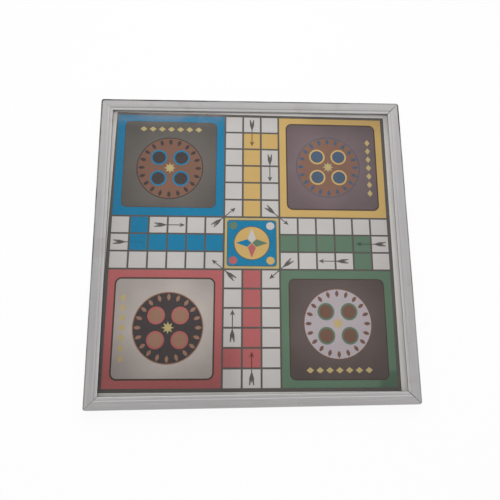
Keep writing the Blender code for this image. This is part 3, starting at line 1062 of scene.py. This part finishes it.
def box_outline(width, height, radius=0.0, steps=BOX_ARC_STEPS):
    x, y = width / 2, height / 2
    corners = [(x, y, radius), (-x, y, radius), (-x, -y, radius), (x, -y, radius)]
    return rounded_outline(corners, steps)


def square_outline(side, radius=0.0):
    return box_outline(side, side, radius)


def cell_place(column, row):
    """Middle of a cell, counted from the far left corner of the track."""
    middle = (CELLS - 1) / 2
    return (column - middle) * CELL, (middle - row) * CELL, 0.0


def quarter_turned(place, quarters):
    """A place (x, y, turn) moved clockwise round the middle of the track."""
    x, y, turn = place
    for _ in range(quarters):
        x, y, turn = y, -x, turn - math.pi / 2
    return x, y, turn


def on_all_arms(places):
    return [quarter_turned(place, quarters) for quarters in range(4) for place in places]


print("track of", CELLS, "cells,", round(CELLS * CELL / MM, 1), "mm wide before the press")

# %% [markdown]
# Lines and cells
#
# Black is printed first as one plate, whose border grows wider towards the near left. The cells lie
# on it with narrow gaps between them, and the gaps are the lines. Printing each line by itself would
# take many more marks. An arm's middle column and its start cell have the colour of the yard to its
# right.

# %% Print the cells
LINE = 2.4 * MM
BORDER = 3.3 * MM
FAR_BORDER = 2.5 * MM
FAR_LEFT_BORDER, NEAR_LEFT_BORDER = 0.6 * MM, 5.8 * MM
COLOURS = ("yellow", "green", "red", "blue")
ARM_CELLS = [(column, row) for column in (6, 7, 8) for row in range(6)]
HOME_CELLS = [(7, row) for row in range(1, 6)] + [(8, 1)]


def plate_outline():
    half = CELLS * CELL / 2
    side = half + BORDER
    far = half + FAR_BORDER
    return [(side, far), (-half - FAR_LEFT_BORDER, far), (-half - NEAR_LEFT_BORDER, -side), (side, -side)]


print_marks("print_lines", plate_outline(), [MIDDLE], INKS["black"], layer=0)
plain_cells = [cell_place(*cell) for cell in ARM_CELLS if cell not in HOME_CELLS]
cell_outline = square_outline(CELL - LINE)
print_marks("track_cells", cell_outline, on_all_arms(plain_cells), INKS["white"], layer=1)
for quarters, colour in enumerate(COLOURS):
    home = [quarter_turned(cell_place(*cell), quarters) for cell in HOME_CELLS]
    print_marks("home_column_" + colour, cell_outline, home, INKS[colour], layer=1)
print("plain cells:", 4 * len(plain_cells), "coloured cells:", 4 * len(HOME_CELLS))

# %% [markdown]
# Arrows
#
# Each arm has three arrows: one into the home column, one along the track from the start cell, and
# one across the inner corner, where tokens turn into the next arm. All are the same old-fashioned
# arrow with a feather of three prongs, a thin shaft and a barbed head. Half its outline is listed,
# tail first, and mirrored. The corner arrows lean a little off the diagonal. A home arrow is split
# where it enters the colour, because there it was printed in a darker tone of that colour.

# %% Print the arrows
HOME_ARROW_CELL = (7, 0)
HOME_TAIL_INSET = 0.18 * CELL
START_ARROW_CELL = (8, 2)
START_TAIL_INSET = 0.28 * CELL
CORNER_TAILS = [reach * CELL for reach in (0.98, 0.88, 0.82, 0.83)]
CORNER_LEAN = math.radians(4.5)
POINTS_DOWN = math.pi
POINTS_DOWN_RIGHT = -math.radians(135)
SHAFT = 0.62
FEATHER_HALF = [(0, 3.0), (0.5, 3.0), (0.65, 6.4), (1.75, 0), (3.0, 0.35), (2.75, 8.6), (SHAFT, 15.0)]
HEAD_HALF = [(SHAFT, 33.2), (3.1, 32.0), (0, 38.8)]
TIP_TONES = {"yellow": 0.58, "green": 0.72, "red": 0.66, "blue": 0.93}


def in_metres(points):
    return [(x * MM, y * MM) for x, y in points]


def mirrored(half):
    """A closed outline from its right half, which is listed from the tail."""
    return half + [(-x, y) for x, y in reversed(half) if x > 0]


def inward_arrow(cell, inset):
    """Place of an arrow towards the home square, with its tail this far inside a cell."""
    x, y, _ = cell_place(*cell)
    return x, y + CELL / 2 - inset, POINTS_DOWN


def corner_arrow(quarters):
    """Place of an arrow that crosses a corner of the home square, leaning towards the rows."""
    lean = CORNER_LEAN * (-1) ** quarters
    corner = Vector((1.5 * CELL, 1.5 * CELL))
    tail = CORNER_TAILS[quarters] * Vector((-math.sqrt(0.5), math.sqrt(0.5)))
    tail = corner + Matrix.Rotation(lean, 2) @ tail
    return quarter_turned((*tail, POINTS_DOWN_RIGHT + lean), quarters)


feather, head = in_metres(FEATHER_HALF), in_metres(HEAD_HALF)
cell_edge = [(SHAFT * MM, CELL - HOME_TAIL_INSET)]
home_arrow = inward_arrow(HOME_ARROW_CELL, HOME_TAIL_INSET)
start_arrow = inward_arrow(START_ARROW_CELL, START_TAIL_INSET)
whole_places = on_all_arms([start_arrow]) + [corner_arrow(quarters) for quarters in range(4)]
print_marks("track_arrows", mirrored(feather + head), whole_places, INKS["black"], layer=2)
tail_places = on_all_arms([home_arrow])
print_marks("home_arrow_tails", mirrored(feather + cell_edge), tail_places, INKS["black"], layer=2)
for quarters, colour in enumerate(COLOURS):
    tip_colour = [TIP_TONES[colour] * part for part in INK_COLOURS[colour]]
    tip_ink = ink_material("ink_tip_" + colour, tip_colour)
    tip_place = [quarter_turned(home_arrow, quarters)]
    print_marks("home_arrow_tip_" + colour, mirrored(cell_edge + head), tip_place, tip_ink, layer=2)
print("arrows:", len(whole_places), "whole and", len(COLOURS), "in two inks")

# %% [markdown]
# Yards
#
# The four corner squares are the yards, where the tokens wait. Each is a coloured square with a
# rounded panel inside a brown-black line. The line's width differs from yard to yard, and the near
# edge of the red panel lies a little higher than that of the green one. A panel's ground is lightest
# round its medallion and darkens towards its corners. Square, line and ground are three layers of
# ink, so one helper stamps them on each other for one yard.

# %% Lay out yards and panels
YARD = 6 * CELL - LINE
YARD_PLACE = (4.5 * CELL, 4.5 * CELL, 0.0)
PANEL = 119.0 * MM
PANEL_LIFT = 0.8 * MM
PANEL_RADIUS = 6.4 * MM
PANEL_ARC_STEPS = 10
PANEL_LINES = {"yellow": 1.7 * MM, "green": 1.2 * MM, "red": 2.0 * MM, "blue": 0.6 * MM}
PANEL_TRIMS = {"yellow": 0.0, "green": 0.0, "red": 1.7 * MM, "blue": 0.0}
PANEL_SHADE = (20 * MM, 85 * MM, 1.15, 0.78)
MEDALLION_SHIFT = -5.0 * MM


def in_yard(x, y, quarters, turn=0.0):
    """A place in a yard, given from the middle of the yard beside the far arm."""
    return quarter_turned((YARD_PLACE[0] + x, YARD_PLACE[1] + y, turn), quarters)


def print_panel(colour, quarters, ground_tone):
    yard_place = quarter_turned(YARD_PLACE, quarters)
    print_marks("yard_" + colour, square_outline(YARD), [yard_place], INKS[colour], layer=1)
    trim = PANEL_TRIMS[colour]
    line = PANEL_LINES[colour]
    height = PANEL - trim
    x, y, turn = yard_place
    place = [(x, y + math.copysign(PANEL_LIFT - trim / 2, y), turn)]
    outline = box_outline(PANEL + 2 * line, height + 2 * line, PANEL_RADIUS + line, PANEL_ARC_STEPS)
    print_marks("panel_line_" + colour, outline, place, INKS["brown_black"], layer=2)
    middle_x, middle_y, _ = in_yard(MEDALLION_SHIFT, 0, quarters)
    seen_middle = sheet_matrix(0) @ Vector((*pressed(middle_x, middle_y), 0.0))
    shade = (seen_middle, *PANEL_SHADE)
    ground = ink_material("ink_panel_" + colour, ground_tone, blotch=0.45, grain=0.2, shade=shade)
    outline = box_outline(PANEL, height, PANEL_RADIUS, PANEL_ARC_STEPS)
    print_marks("panel_" + colour, outline, place, ground, layer=3)


print("yards of", round(YARD / MM, 1), "mm with panels of", round(PANEL / MM, 1), "mm")

# %% [markdown]
# Discs, stars and petals
#
# The panels and the home square carry plain geometric designs. A mesh primitive would give a disc,
# but no star and no pointed petal. So all three follow a formula over the angles of a circle, and
# the stamp repeats them.

# %% Draw discs, stars and petals
DISC_STEPS, LARGE_DISC_STEPS = 64, 96


def circle_angles(count):
    return [2 * math.pi * step / count for step in range(count)]


def disc_outline(radius, steps=DISC_STEPS):
    return [(radius * math.cos(angle), radius * math.sin(angle)) for angle in circle_angles(steps)]


def star_outline(radius, waist, points=8):
    reaches = [radius, radius * waist] * points
    angles = circle_angles(2 * points)
    return [(reach * math.cos(angle), reach * math.sin(angle)) for reach, angle in zip(reaches, angles)]


def petal_outline(long, wide, steps=10):
    """A pointed leaf between two arcs, lying along x."""
    upper = []
    for step in range(steps):
        angle = math.pi * step / steps
        upper.append((long * math.cos(angle), wide * math.sin(angle) ** 2))
    return upper + [(-x, -y) for x, y in upper]


print("discs of", DISC_STEPS, "and", LARGE_DISC_STEPS, "points")

# %% [markdown]
# Medallions
#
# A panel holds a medallion with a ring of petals, a small star and the four traditional token spots,
# and a row of gold diamonds along its outer side. The tones stay soft and dark, as print under old
# glass does. One helper prints a medallion, since the four differ only in their tones.

# %% Print the yards
# Yard: the tones of its panel's ground, of its medallion and of its spots.
PANEL_TONES = {
    "yellow": ((112, 98, 101), (126, 96, 84), (78, 92, 112)),
    "green": ((96, 86, 84), (168, 158, 164), (112, 86, 76)),
    "red": ((172, 162, 158), (74, 68, 69), (146, 112, 96)),
    "blue": ((100, 95, 92), (122, 92, 80), (72, 66, 66)),
}
MEDALLION_RADIUS = 43.0 * MM
MEDALLION_RIM = 1.3 * MM
MEDALLION_BLOTCH = 0.3
PETAL_COUNT = 20
PETAL_REACH = 36.6 * MM
PETAL_LONG, PETAL_WIDE = 4.2 * MM, 2.2 * MM
SPOT_REACH = 14.5 * MM
RING_RADIUS = 10.6 * MM
SPOT_RADIUS = 8.4 * MM
STAR_RADIUS = 7.5 * MM
STAR_WAIST = 0.5
PIP_COUNT = 7
PIP_STEP = 12.0 * MM
PIP_REACH = 50.0 * MM
PIP_LONG, PIP_WIDE = 4.6 * MM, 3.6 * MM


def print_medallion(colour, quarters, medal_tone, spot_tone):
    medal = ink_material("ink_medallion_" + colour, medal_tone, blotch=MEDALLION_BLOTCH)
    spot = ink_material("ink_spot_" + colour, spot_tone, blotch=MEDALLION_BLOTCH)
    middle = [in_yard(MEDALLION_SHIFT, 0, quarters)]
    rim_outline = disc_outline(MEDALLION_RADIUS, LARGE_DISC_STEPS)
    print_marks("medallion_rim_" + colour, rim_outline, middle, spot, layer=4)
    medal_outline = disc_outline(MEDALLION_RADIUS - MEDALLION_RIM, LARGE_DISC_STEPS)
    print_marks("medallion_" + colour, medal_outline, middle, medal, layer=5)
    petals = []
    for angle in circle_angles(PETAL_COUNT):
        x, y = PETAL_REACH * math.cos(angle), PETAL_REACH * math.sin(angle)
        petals.append(in_yard(MEDALLION_SHIFT + x, y, quarters, angle))
    print_marks("petals_" + colour, petal_outline(PETAL_LONG, PETAL_WIDE), petals, spot, layer=6)
    corners = [(x * SPOT_REACH, y * SPOT_REACH) for x in (-1, 1) for y in (-1, 1)]
    spots = [in_yard(MEDALLION_SHIFT + x, y, quarters) for x, y in corners]
    print_marks("token_rings_" + colour, disc_outline(RING_RADIUS), spots, INKS[colour], layer=6)
    print_marks("token_spots_" + colour, disc_outline(SPOT_RADIUS), spots, spot, layer=7)
    star = star_outline(STAR_RADIUS, STAR_WAIST)
    print_marks("panel_star_" + colour, star, middle, INKS["gold"], layer=6)


pips = [(PIP_REACH, (step - (PIP_COUNT - 1) / 2) * PIP_STEP) for step in range(PIP_COUNT)]
pip_outline = [(PIP_WIDE, 0), (0, PIP_LONG), (-PIP_WIDE, 0), (0, -PIP_LONG)]
pip_places = [in_yard(x, y, quarters) for quarters in range(4) for x, y in pips]
print_marks("panel_pips", pip_outline, pip_places, INKS["gold"], layer=4)
for quarters, colour in enumerate(COLOURS):
    ground_tone, medal_tone, spot_tone = PANEL_TONES[colour]
    print_panel(colour, quarters, ground_tone)
    print_medallion(colour, quarters, medal_tone, spot_tone)
print("yards:", ", ".join(COLOURS))

# %% [markdown]
# Home
#
# All tokens end in the square in the middle. It has a gold rim, a black line and a blue field. On
# the field lies a plain roundel with a four-pointed star, and a small counter in each corner. The
# star's points have the colours of the columns that lead to them, but for the far one, which is
# white, because its yellow wouldn't show on the yellow roundel.

# %% Print the home square
HOME = 3 * CELL - LINE
HOME_RIM = 2.8 * MM
HOME_LINE = 0.9 * MM
HOME_RADIUS = 4.0 * MM
ROUNDEL_RADIUS = 23.0 * MM
ROUNDEL_LINE = 1.0 * MM
COUNTER_REACH = 23.6 * MM
COUNTER_RADIUS = 5.2 * MM
COUNTER_COLOURS = ("white", "yellow", "red", "green")
KITE = [(0, 0.5), (5.2, 5.9), (0, 20.0), (-5.2, 5.9)]
POINT_COLOURS = {"yellow": "white"}

line_side = HOME - 2 * HOME_RIM
home_field = square_outline(line_side - 2 * HOME_LINE, HOME_RADIUS - HOME_LINE)
home_ring = disc_outline(ROUNDEL_RADIUS, LARGE_DISC_STEPS)
home_roundel = disc_outline(ROUNDEL_RADIUS - ROUNDEL_LINE, LARGE_DISC_STEPS)
print_marks("home_rim", square_outline(HOME), [MIDDLE], INKS["gold"], layer=1)
print_marks("home_line", square_outline(line_side, HOME_RADIUS), [MIDDLE], INKS["black"], layer=2)
print_marks("home_field", home_field, [MIDDLE], INKS["blue"], layer=3)
print_marks("home_ring", home_ring, [MIDDLE], INKS["black"], layer=4)
print_marks("home_roundel", home_roundel, [MIDDLE], INKS["yellow"], layer=5)
for quarters, colour in enumerate(COLOURS):
    point_ink = INKS[POINT_COLOURS.get(colour, colour)]
    point = [quarter_turned(MIDDLE, quarters)]
    print_marks("home_point_" + colour, in_metres(KITE), point, point_ink, layer=6)
    counter = [quarter_turned((COUNTER_REACH, COUNTER_REACH, 0), quarters)]
    counter_ink = INKS[COUNTER_COLOURS[quarters]]
    print_marks("home_counter_" + colour, disc_outline(COUNTER_RADIUS), counter, counter_ink, layer=4)
print("home square of", round(HOME / MM, 1), "mm")

# %% [markdown]
# Hardboard
#
# The back is hardboard: wood fibres pressed into a brown sheet. Its show side is smooth with darker
# flecks, and it is a little glossy where the press plate touched it. Stretched noise in two
# directions makes the felted fibres, which a single noise would leave as round spots.

# %% Finish the back
HARDBOARD_LIGHT = (0.26, 0.145, 0.072, 1.0)
HARDBOARD_DARK = (0.10, 0.052, 0.025, 1.0)
FIBRE_SCALES = ((260.0, 1500.0, 800.0), (1500.0, 260.0, 800.0))
FIBRE_DETAIL = 3.0
FLECK_RAMP = (0.45, 0.75)
FIBRE_ROUGHNESS = (0.4, 0.8, 0.72, 0.5)


def hardboard_material():
    material, tree, shader = new_material("hardboard")
    place = object_place(tree)
    fibres = []
    for scale in FIBRE_SCALES:
        inputs = {"Vector": stretched_place(tree, place, scale), "Scale": 1.0, "Detail": FIBRE_DETAIL}
        fibres.append(add_node(tree, "ShaderNodeTexNoise", inputs).outputs["Fac"])
    felt = math_node(tree, "MAXIMUM", *fibres)
    cloud = uneven(tree, place, Blotch_Scale=18.0, Grain_Scale=700.0, Blotch=0.3, Grain=0.2)
    brown = mixed_colour(tree, ramp(tree, felt, *FLECK_RAMP), HARDBOARD_DARK, HARDBOARD_LIGHT)
    fill_inputs(tree, shader, {
        "Base Color": tinted(tree, brown, cloud["Level"]),
        "Roughness": ramp(tree, felt, *FIBRE_ROUGHNESS),
        "Normal": bumps(tree, felt, strength=0.3, depth=0.05 * MM),
    })
    return material


dress("backing_board", hardboard_material())
print("backing board at", round(BACK_BOTTOM, 4))

# %% [markdown]
# Corner hardware
#
# In the channel under each corner lie a tapped steel angle, a pressure plate above it and two
# slotted set screws. Only glimpses of them show through the slot in the underside. The angles and
# plates are zinc plated, with the faint yellow and the cloudy spangle of that finish, and the
# screws are blackened. One function makes both, since they differ only in a few values.

# %% Finish the corner hardware
ZINC = (0.60, 0.585, 0.53)
BLACKENED = (0.055, 0.055, 0.058)
SPANGLE = (0.3, 0.7)
GLOSSIER, DULLER = 0.08, 0.1
HARDWARE = ("corner_angle", "pressure_plate", "set_screw")


def steel_material(name, colour, roughness, blotch):
    material, tree, shader = new_material(name)
    place = object_place(tree)
    cloud = uneven(tree, place, Blotch_Scale=160.0, Grain_Scale=1800.0, Blotch=blotch, Grain=0.15)
    rough = ramp(tree, cloud["Blotches"], *SPANGLE, roughness - GLOSSIER, roughness + DULLER)
    fill_inputs(tree, shader, {
        "Base Color": tinted(tree, colour, cloud["Level"]),
        "Roughness": rough,
        "Metallic": 1.0,
        "Normal": bumps(tree, cloud["Grains"], strength=0.2, depth=0.02 * MM),
    })
    return material


zinc = steel_material("zinc_steel", ZINC, roughness=0.36, blotch=0.5)
blackened = steel_material("blackened_steel", BLACKENED, roughness=0.42, blotch=0.3)
hardware = [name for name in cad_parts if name.startswith(HARDWARE)]
for name in hardware:
    dress(name, blackened if name.startswith("set_screw") else zinc)
print("hardware nodes:", len(hardware))
